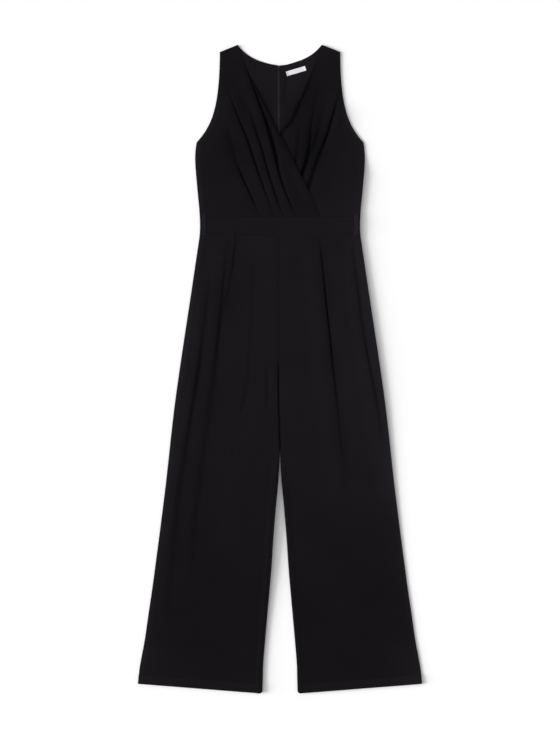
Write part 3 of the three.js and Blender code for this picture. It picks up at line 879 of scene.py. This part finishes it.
def leftLegTone(x, y):
    thigh = ease((x - foldX(leftLegFolds[0], y) - 4) / 14) * ease((290 - y) / 60) * ease((y + 400) / 240)
    shade = foldShade(leftLegFolds, leftLegCreases, x, y, hollowPaintedShade["share"])
    return (toneAt(x, y) + thighPaintedHighlight * thigh) * shade * seamShade(x, y)


# painted shade beside the fronts' edges, and down in the foot of the V
def backTone(x, y):
    shade = backShade
    low = ease((680 - y) / 100) * ease((y - 360) / 60)
    edges = ease((690 - y) / 50) * ease((y - 480) / 40)
    off = x - underX(y)
    beside = shade["beside"] * bell(off / 20) + shade["close"] * bell(off / 5) * ease((660 - y) / 60)
    wrap = shade["wrap"] * bell((x - overX(y)) / 2)
    plain = mix(shade["right"], shade["left"], ease((x + 20) / 40))
    return plain * (1 - shade["low"] * low) * (1 - edges * np.maximum(beside, wrap))


# painted shade down the middle of the back legs, under the centre seam
def backLegTone(x, y):
    return backTone(x, y) * (1 - backShade["fork"] * bell(x / 9) * ease((60 - y) / 60) * ease((y + 300) / 60))


def bandTone(x, y):
    return 1.13 + 0.1 * ease((x + 40) / 180) + 0 * y


# painted shade: a narrow strip beside the wrapped edges, a painted shadow where the right front crosses
# the left one, a hollow between the folds, and the cloth between the folds darker than the sides
def underTone(x, y):
    paintedEdgeShade = bell((x - underX(y) - 1.5) / 6) * ease((740 - y) / 110)
    paintedInnerShade = bell((x - 66) / 36) * ease((y - 430) / 70) * ease((720 - y) / 80)
    hollow = bell((x - 82) / 24) * bell((y - 515) / 50)
    crossed = bell((x - overX(y) - 1) / 2.2) * ease((575 - y) / 30) * ease((y - 400) / 60)
    shade = foldShade(underFolds, underCreases, x, y) * (1 - frontShade["crossed"] * crossed)
    plain = toneAt(x, y) * (1.08 - frontShade["paintedEdgeShade"] * paintedEdgeShade)
    return plain * (1 - frontShade["paintedInnerShade"] * paintedInnerShade) * (1 - frontShade["hollow"] * hollow) * shade


# painted shade along the right front's edge, in a hollow beside it, and away from the side seam
def overTone(x, y):
    paintedEdgeShade = bell((overX(y) - x - 0.5) / 1.3) * ease((700 - y) / 40) * mix(0.3, 1, ease((y - 535) / 30))
    hollow = bell((overX(y) - x - 10) / 12) * bell((y - 545) / 32)
    paintedInnerShade = ease((half(y) + x - 18) / 60) * ease((735 - y) / 60) * mix(0.5, 1, ease((y - 420) / 100))
    plain = toneAt(x, y) * (1 - frontShade["overPaintedEdgeShade"] * paintedEdgeShade) * (1 - frontShade["overHollow"] * hollow)
    return plain * (1 - frontShade["overPaintedInnerShade"] * paintedInnerShade) * foldShade(overFolds, (), x, y)


# the fronts

bodiceMesh = {"rows": 132, "columns": 180}
legMesh = {"rows": 236, "columns": 150}


# straight from the neck out
def shoulderAt(t):
    return mix(garment["neck"][1], garment["shoulder"][1], t)


bothSides = ((-1, "Right"), (1, "Left"))


# the outer edge on one side
def outerAt(side):
    return lambda y: side * half(y)


# A leg from the waist seam to the hem. The centre seam opens a little above the crotch, and below it
# the inner edge follows the table of the opening between the legs.
def makeLeg(name, side, seamStart, low, tone, folds, rows, columns, seamShift=0.0, openBy=0.0):
    outer = outerAt(side)

    def inner(y):
        sewn = garment["seamGap"] / 2 + openBy * ease((garment["seamTurn"] + 6 - y) / 60)
        seam = centreSeam(seamStart, y) + side * sewn
        parted = curveThrough(legOpening, y) + openBy * ease((y + 215) / 32)
        return np.where(y > garment["crotch"], seam, side * parted)

    def rowAt(v, t):
        out = 1 - t if side < 0 else t
        top = bandFoot(side * out * garment["bandHalf"]) - garment["seamGap"] / 2 + seamShift
        corner = 3.5 * (1 - ease(out / 0.022)) * ease((v - 0.98) / 0.02)
        return mix(top, hemLine(mix(garment["hemInner"][0], garment["hemOuter"][0], out)), v) + corner

    return clothPanel(
        name, left=outer if side < 0 else inner, right=inner if side < 0 else outer, rowAt=rowAt,
        low=low, tone=tone, folds=folds, thick=turnUp, rows=rows, columns=columns,
    )


pieces = {}
pieces["front_bodice_right"] = clothPanel(
    "frontBodiceRight", left=outerAt(-1), right=overX,
    rowAt=lambda v, t: mix(shoulderAt(1 - t), bodiceFoot, v),
    low=overLow, tone=overTone, folds=overFolds, **bodiceMesh,
)
pieces["front_bodice_left"] = clothPanel(
    "frontBodiceLeft", left=underX, right=half,
    rowAt=lambda v, t: mix(shoulderAt(t), bodiceFoot, v),
    low=underLow, tone=underTone, folds=underFolds, **bodiceMesh,
)
print("bodice fronts ready")

rightLow = legLow(rightLegFolds, rightLegCreases, 31)
leftLow = legLow(leftLegFolds, leftLegCreases, 41)
for name, side, low, tone, folds in (
    ("Right", -1, rightLow, rightLegTone, rightLegFolds),
    ("Left", 1, leftLow, leftLegTone, leftLegFolds),
):
    pieces["front_leg_" + name.lower()] = makeLeg(
        "frontLeg" + name, side, frontSeamStart, low, tone, folds, openBy=1.3, **legMesh,
    )
print("leg fronts ready")


# the backs

backBodiceMesh = {"rows": 84, "across": 60, "neckShare": 0.7, "long": 380, "wide": 190}


# A back panel: its top row follows the neckline's dip and then the shoulder, and the rows below it
# level out to the waist seam. The inner edge stands a little open at the slider.
def makeBackBodice(name, side):
    neck, shoulder, share = garment["neck"], garment["shoulder"], backBodiceMesh["neckShare"]
    long, wide = backBodiceMesh["long"], backBodiceMesh["wide"]
    foot = bodiceFoot + garment["backSeamShift"]
    v = sharesAcross(long, backBodiceMesh["rows"])[:, None]
    u = sharesAcross(wide, backBodiceMesh["across"])[None, :]
    neckT = np.clip(u / share, 0, 1)
    shoulderT = np.clip((u - share) / (1 - share), 0, 1)
    dip = garment["backNeckDrop"] * (1 - (0.38 * neckT + 0.15 * neckT**2 + 0.47 * neckT**4))
    dip = dip + (side > 0) * 0.9 * bell((neckT - 0.18) / 0.12)  # the left side sags a little
    topX = mix(mix(0, neck[0], neckT), shoulder[0], shoulderT)
    topY = mix(neck[1] - dip, shoulder[1], shoulderT)
    y = mix(topY, foot, v)
    outer = half(mix(shoulder[1], foot, v))
    reach = mix(topX / shoulder[0], u, ease(v * 1.6))
    inner = garment["zipX"] * side + garment["layerGap"] / 2 + 0.75 * ease((y - 662) / 20)
    x = side * mix(inner, outer, reach)
    rise = ease(fromSide(x, y) / 30) * ease((y - foot) / 40) * ease((np.abs(x) - 20) / 40)
    uneven = lieHigh["backRipple"] * (1 + softNoise(x, y, 60, 160, 5)) * rise
    z = backLift(x, y) + garment["cloth"] / 2 + uneven + curl(x, y)
    edge = fromEdge(u, v, wide, long)
    return clothShell(name, x, y, z, garment["cloth"], edge, backTone(x, y), turned=side < 0)


# the back lies flat on the surface, uneven only away from its edges
def backLegLow(seed):
    def low(x, y):
        free = ease(fromSide(x, y) / 30) * ease((bandFoot(x) - y) / 40) * ease((np.abs(x) - 20) / 40)
        inseam = np.abs(x) - curveThrough(legOpening, y)
        free = free * ease((y - hemLine(x) - 18) / 40) * ease((inseam - 8) / 30)
        return lieHigh["backLegRipple"] * (1 + softNoise(x, y, 50, 260, seed)) * free + curl(x, y)
    return low


backLegMesh = {"rows": 120, "columns": 34}

for side, word in bothSides:
    node = word.lower()
    pieces["back_bodice_" + node] = makeBackBodice("backBodice" + word, side)
    pieces["back_leg_" + node] = makeLeg(
        "backLeg" + word, side, garment["zipX"], backLegLow(51 + side), backLegTone, (),
        seamShift=garment["backSeamShift"], **backLegMesh,
    )
print("backs ready")


# the waistband

bandMesh = {"rows": 20, "long": 44, "wide": 190, "soft": 0.2}


# A stretch of waistband: rows blend from its straight upper seam to its curved lower one, and columns run
# from one edge to the other.
def makeBand(name, left, right, low, thick, columns, seamShift=0.0):
    gap = garment["seamGap"]
    top = garment["bandTop"] - gap / 2 + seamShift
    u = sharesAcross(right(top) - left(top), columns)[None, :]
    v = sharesAcross(bandMesh["long"], bandMesh["rows"])[:, None]
    middle = mix(left(top), right(top), u)
    y = mix(top, bandFoot(middle) + gap / 2 + seamShift, v)
    x = mix(left(y), right(y), u)
    edge = fromEdge(u, v, bandMesh["wide"], bandMesh["long"])
    soft = bandMesh["soft"] * (1 + softNoise(x, y, 34, 60, 8)) * ease(edge / 6)
    return clothShell(name, x, y, low(x, y) + thick / 2 + soft, thick, edge, bandTone(x, y))


def zipSideAt(side):
    return lambda y: garment["zipX"] + side * garment["layerGap"] / 2 + 0 * y


def bandFloor(x, y):
    return frontFloor + zipMound(x, y) + curl(x, y)


shift = garment["backSeamShift"]
pieces["waistband_front"] = makeBand(
    "waistbandFront", outerAt(-1), half, bandFloor, garment["bandCloth"], 150
)
pieces["waistband_back_right"] = makeBand(
    "waistbandBackRight", outerAt(-1), zipSideAt(-1), curl, garment["cloth"], 60, shift
)
pieces["waistband_back_left"] = makeBand(
    "waistbandBackLeft", zipSideAt(1), half, curl, garment["cloth"], 60, shift
)
print("waistband ready")


# the belt loops

beltLoop = {
    "x": 177,
    "width": 11,
    "past": 6,  # mm it runs on past each seam
    "thick": 0.8,
    "ridge": 0.4,  # mm, the height of its two folded ridges
    "bow": 0.3,  # mm, how far it stands off the band at the middle
    # painted highlight on the two ridges, painted shade in the groove and at the rims
    "ridgePaintedLight": 2.1,
    "groovePaintedShade": 1.2,
}


# A narrow strip over the band that steps down onto the cloth past both seams, folded into two ridges:
# across, the height is the ridge's times the root of |sin| of one whole turn.
def makeBeltLoop(name, side):
    look = beltLoop
    foot = float(bandFoot(side * look["x"]))
    onBand = frontFloor + garment["bandCloth"] + garment["layerGap"] + 0.1
    onPanel = frontFloor + garment["cloth"] + garment["layerGap"] + 0.7
    top, middle = garment["bandTop"], (garment["bandTop"] + foot) / 2
    rows = [
        (foot - look["past"], onPanel), (foot - 2.2, onPanel), (foot - 0.4, onBand),
        (middle, onBand + look["bow"]),
        (top + 0.4, onBand), (top + 2.2, onPanel), (top + look["past"], onPanel),
    ]
    long = rows[-1][0] - rows[0][0]
    v = sharesAcross(long, 60)[:, None]
    u = sharesAcross(look["width"], 24)[None, :]
    y = mix(rows[-1][0], rows[0][0], v) + 0 * u
    x = side * look["x"] + (u - 0.5) * look["width"] + 0 * v
    across = np.sqrt(np.abs(np.sin(2 * np.pi * u)))
    held = ease((np.minimum(v, 1 - v) * long - 2) / 5)
    z = np.interp(y, *np.array(rows).T) + look["thick"] / 2 + look["ridge"] * across * (0.4 + 0.6 * held)
    z = z + curl(x, y)
    # painted highlight on the ridges, painted shade in the groove between them and at the rims
    tone = look["ridgePaintedLight"] - look["groovePaintedShade"] * (1 - across)
    return clothShell(name, x, y, z, look["thick"], fromEdge(u, v, look["width"], long), tone)


for side, word in bothSides:
    pieces["belt_loop_" + word.lower()] = makeBeltLoop("beltLoop" + word, side)
print("belt loops ready")

for node, piece in pieces.items():
    addPiece(piece, crepe, node)


# the zip

zipParts = {
    "tapeHalf": 12,
    "tapeThick": 0.6,
    "top": 692.2,
    "pitch": 1.2,  # mm from one coil to the next
    "wire": 0.34,  # mm, half the coil wire's thickness
    "floor": 1.55,
    "tone": 1.3,
    # one loop of the wire: how far from the middle, and how high
    "loopOut": (3.3, 2.7, 1.5, 0.2, -0.45, -0.55, -0.1, 1.1, 2.4),
    "loopHigh": (0.45, 0.82, 0.98, 0.92, 0.72, 0.45, 0.28, 0.25, 0.24),
}


def zipFloor(y):
    return zipParts["floor"] + backLift(garment["zipX"], y)


# half of the tape: flat across, and following the back's rise towards the slider
def makeTape(name, side):
    look = zipParts
    long = look["top"] - garment["zipFoot"]
    v = sharesAcross(long, 150)[:, None]
    u = sharesAcross(look["tapeHalf"], 8)[None, :]
    y = look["top"] - long * v + 0 * u
    x = garment["zipX"] + side * mix(0.25, look["tapeHalf"], u) + 0 * v
    thick = look["tapeThick"] * (1 - 0.7 * ease((u - 0.6) / 0.4))
    z = zipFloor(y) - 0.28 * ease((u - 0.5) / 0.5) + thick / 2
    edge = fromEdge(u, v, look["tapeHalf"], long)
    return clothShell(name, x, y, z, thick, edge, look["tone"], turned=side < 0)


# half of the coil: loops of wire in planes across the zip, each reaching in over the middle on top and
# coming back underneath; the two halves stand half a pitch apart
def makeCoil(name, side):
    look = zipParts
    first = look["top"] - 1 - (0.5 if side > 0 else 0) * look["pitch"]
    y = np.arange(first, garment["zipFoot"] + 1, -look["pitch"])
    paths = np.empty((len(y), len(look["loopOut"]), 3))
    paths[..., 0] = garment["zipX"] + side * np.array(look["loopOut"])
    paths[..., 1] = y[:, None]
    paths[..., 2] = (zipFloor(y) + look["tapeThick"])[:, None] - 0.15 + np.array(look["loopHigh"])
    radius = np.full(len(look["loopOut"]), look["wire"])
    radius[[0, -1]] *= 0.6
    return threads(name, paths, radius, (0, 1, 0))


for side, word in bothSides:
    node = "zip_tape_" + word.lower()
    tape = makeTape("zipTape" + word, side)
    addPiece(tape, crepe, node)
    addPiece(makeCoil("zipCoil" + word, side), nylon, node)

for node in ("zip_slider", "zip_pull"):
    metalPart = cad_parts[node]
    metalPart.data.materials.clear()
    metalPart.data.materials.append(zipMetal)
print("zip ready")


# the label

labelParts = {
    "middle": (37.6, 692.1),
    "size": (46.5, 10.9),
    "turn": 16.5,  # degrees
    "thick": 0.5,
    "fold": 3,  # mm turned under at each end
    "bow": 0.25,
    "stitches": 6,  # up each end
    "stitchLong": 1.5,
    "stitchIn": 1.4,  # mm in from the end
    "stitchRound": (0.08, 0.15, 0.17, 0.15, 0.08),
}


# a place on the label, turned about the label's middle
def labelPoint(across, up):
    turn = math.radians(labelParts["turn"])
    x = labelParts["middle"][0] + across * math.cos(turn) - up * math.sin(turn)
    y = labelParts["middle"][1] + across * math.sin(turn) + up * math.cos(turn)
    return x, y


# A satin strip on the back's own height, thicker where each end is turned under, a little bowed.
def makeLabel():
    look = labelParts
    wide, high = look["size"]
    u = sharesAcross(wide, 60)[None, :]
    v = sharesAcross(high, 18)[:, None]
    x, y = labelPoint((u - 0.5) * wide, (0.5 - v) * high)
    ends = 1 - ease((np.minimum(u, 1 - u) * wide - look["fold"]) / 0.8)
    thick = look["thick"] * (1 + 0.8 * ends)
    bow = look["bow"] * np.sin(np.pi * u) ** 2 * (1 + 0.4 * np.sin(2 * np.pi * v))
    z = frontFloor + 0.35 + backLift(x, y) + look["thick"] / 2 + bow + 0.2 * ends
    return clothShell("neckLabel", x, y, z, thick, fromEdge(u, v, wide, high), 1.0)


# short stitches, each rising out of the cloth at one end and going back in at the other: an arch in t
# squared along a straight line
def stitchPaths(x, y, z, alongX, alongY, long, rise=0.12):
    t = np.linspace(-0.5, 0.5, 5)
    paths = np.empty((len(x), 5, 3))
    paths[..., 0] = x[:, None] + alongX * long * t
    paths[..., 1] = y[:, None] + alongY * long * t
    paths[..., 2] = z[:, None] + rise * (1 - 8 * t**2)
    return paths


# a row of stitches up each end of the label
def labelStitches():
    look = labelParts
    wide, high = look["size"]
    turn = math.radians(look["turn"])
    up = np.tile(np.linspace(-0.42, 0.42, look["stitches"]) * high, 2)
    out = wide / 2 - look["stitchIn"]
    x, y = labelPoint(np.repeat([-out, out], look["stitches"]), up)
    z = frontFloor + 1.3 + backLift(x, y)
    paths = stitchPaths(x, y, z, -math.sin(turn), math.cos(turn), look["stitchLong"])
    return threads("labelStitches", paths, look["stitchRound"], (math.cos(turn), math.sin(turn), 0))


label = makeLabel()
addPiece(label, satin, "label")
stitches = labelStitches()
addPiece(stitches, whiteThread, "label")
print("label ready")


# stitching on the hems

hemStitch = {"pitch": 3.2, "long": 2.4, "up": 18.2, "radius": 0.2}  # mm


# an even row along the upper edge of a turned-up hem
def hemStitches(name, side, low):
    look = hemStitch
    x = side * np.arange(garment["hemInner"][0] + 4, garment["hemOuter"][0] - 5, look["pitch"])
    y = hemLine(x) + look["up"]
    z = low(x, y) + garment["cloth"] + turnUp(x, y) - 0.05
    inner, outer = garment["hemInner"], garment["hemOuter"]
    turn = math.atan((outer[1] - inner[1]) / (outer[0] - inner[0])) * side
    paths = stitchPaths(x, y, z, math.cos(turn), math.sin(turn), look["long"])
    radius = np.array([0.5, 0.9, 1, 0.9, 0.5]) * look["radius"]
    return threads(name, paths, radius, (-math.sin(turn), math.cos(turn), 0), sides=5)


for name, side, low in (("hemStitchesRight", -1, rightLow), ("hemStitchesLeft", 1, leftLow)):
    addPiece(hemStitches(name, side, low), blackThread)
print("stitching ready")


# floor and light

studio = {
    "floor": (0.84, 0.84, 0.84),
    "floorDrop": 0.05,  # mm below the cloth
    "floorReach": 40,  # m
    "fill": 0.54,  # even light from all round
    "key": 0.7,
    "keyHigh": 42,  # degrees above the floor, from the left
    "keySize": 40,  # degrees
    "wash": 5.51,  # a low light that falls on the floor and the label alone
    "washHigh": 17,
    "washSize": 30,
}


def makeSun(name, strength, high, size):
    data = bpy.data.lights.new(name, "SUN")
    data.energy = strength
    data.angle = math.radians(size)
    lamp = bpy.data.objects.new(name, data)
    lamp.rotation_euler = (0, -math.radians(90 - high), 0)
    bpy.context.collection.objects.link(lamp)
    return lamp


def makeStudio():
    paint = {"colour": studio["floor"], "roughness": 0.9, "specular": 0.0}
    mesh = bpy.data.meshes.new("floor")
    reach = studio["floorReach"]
    corners = [(-reach, -reach), (reach, -reach), (reach, reach), (-reach, reach)]
    mesh.from_pydata([(x, y, -studio["floorDrop"] * mm) for x, y in corners], [], [(0, 1, 2, 3)])
    mesh.materials.append(newMaterial("floorPaint", paint)[0])
    floor = bpy.data.objects.new("floor", mesh)
    bpy.context.collection.objects.link(floor)
    world = bpy.data.worlds.new("studio")
    world.use_nodes = True
    sky = world.node_tree.nodes["Background"].inputs
    sky["Color"].default_value = (1, 1, 1, 1)
    sky["Strength"].default_value = studio["fill"]
    bpy.context.scene.world = world
    makeSun("key", studio["key"], studio["keyHigh"], studio["keySize"])
    wash = makeSun("wash", studio["wash"], studio["washHigh"], studio["washSize"])
    washed = bpy.data.collections.new("washed")
    for piece in (floor, label, stitches):
        washed.objects.link(piece)
    wash.light_linking.receiver_collection = washed
    bpy.context.scene.view_settings.view_transform = "Standard"


makeStudio()
print("studio ready")
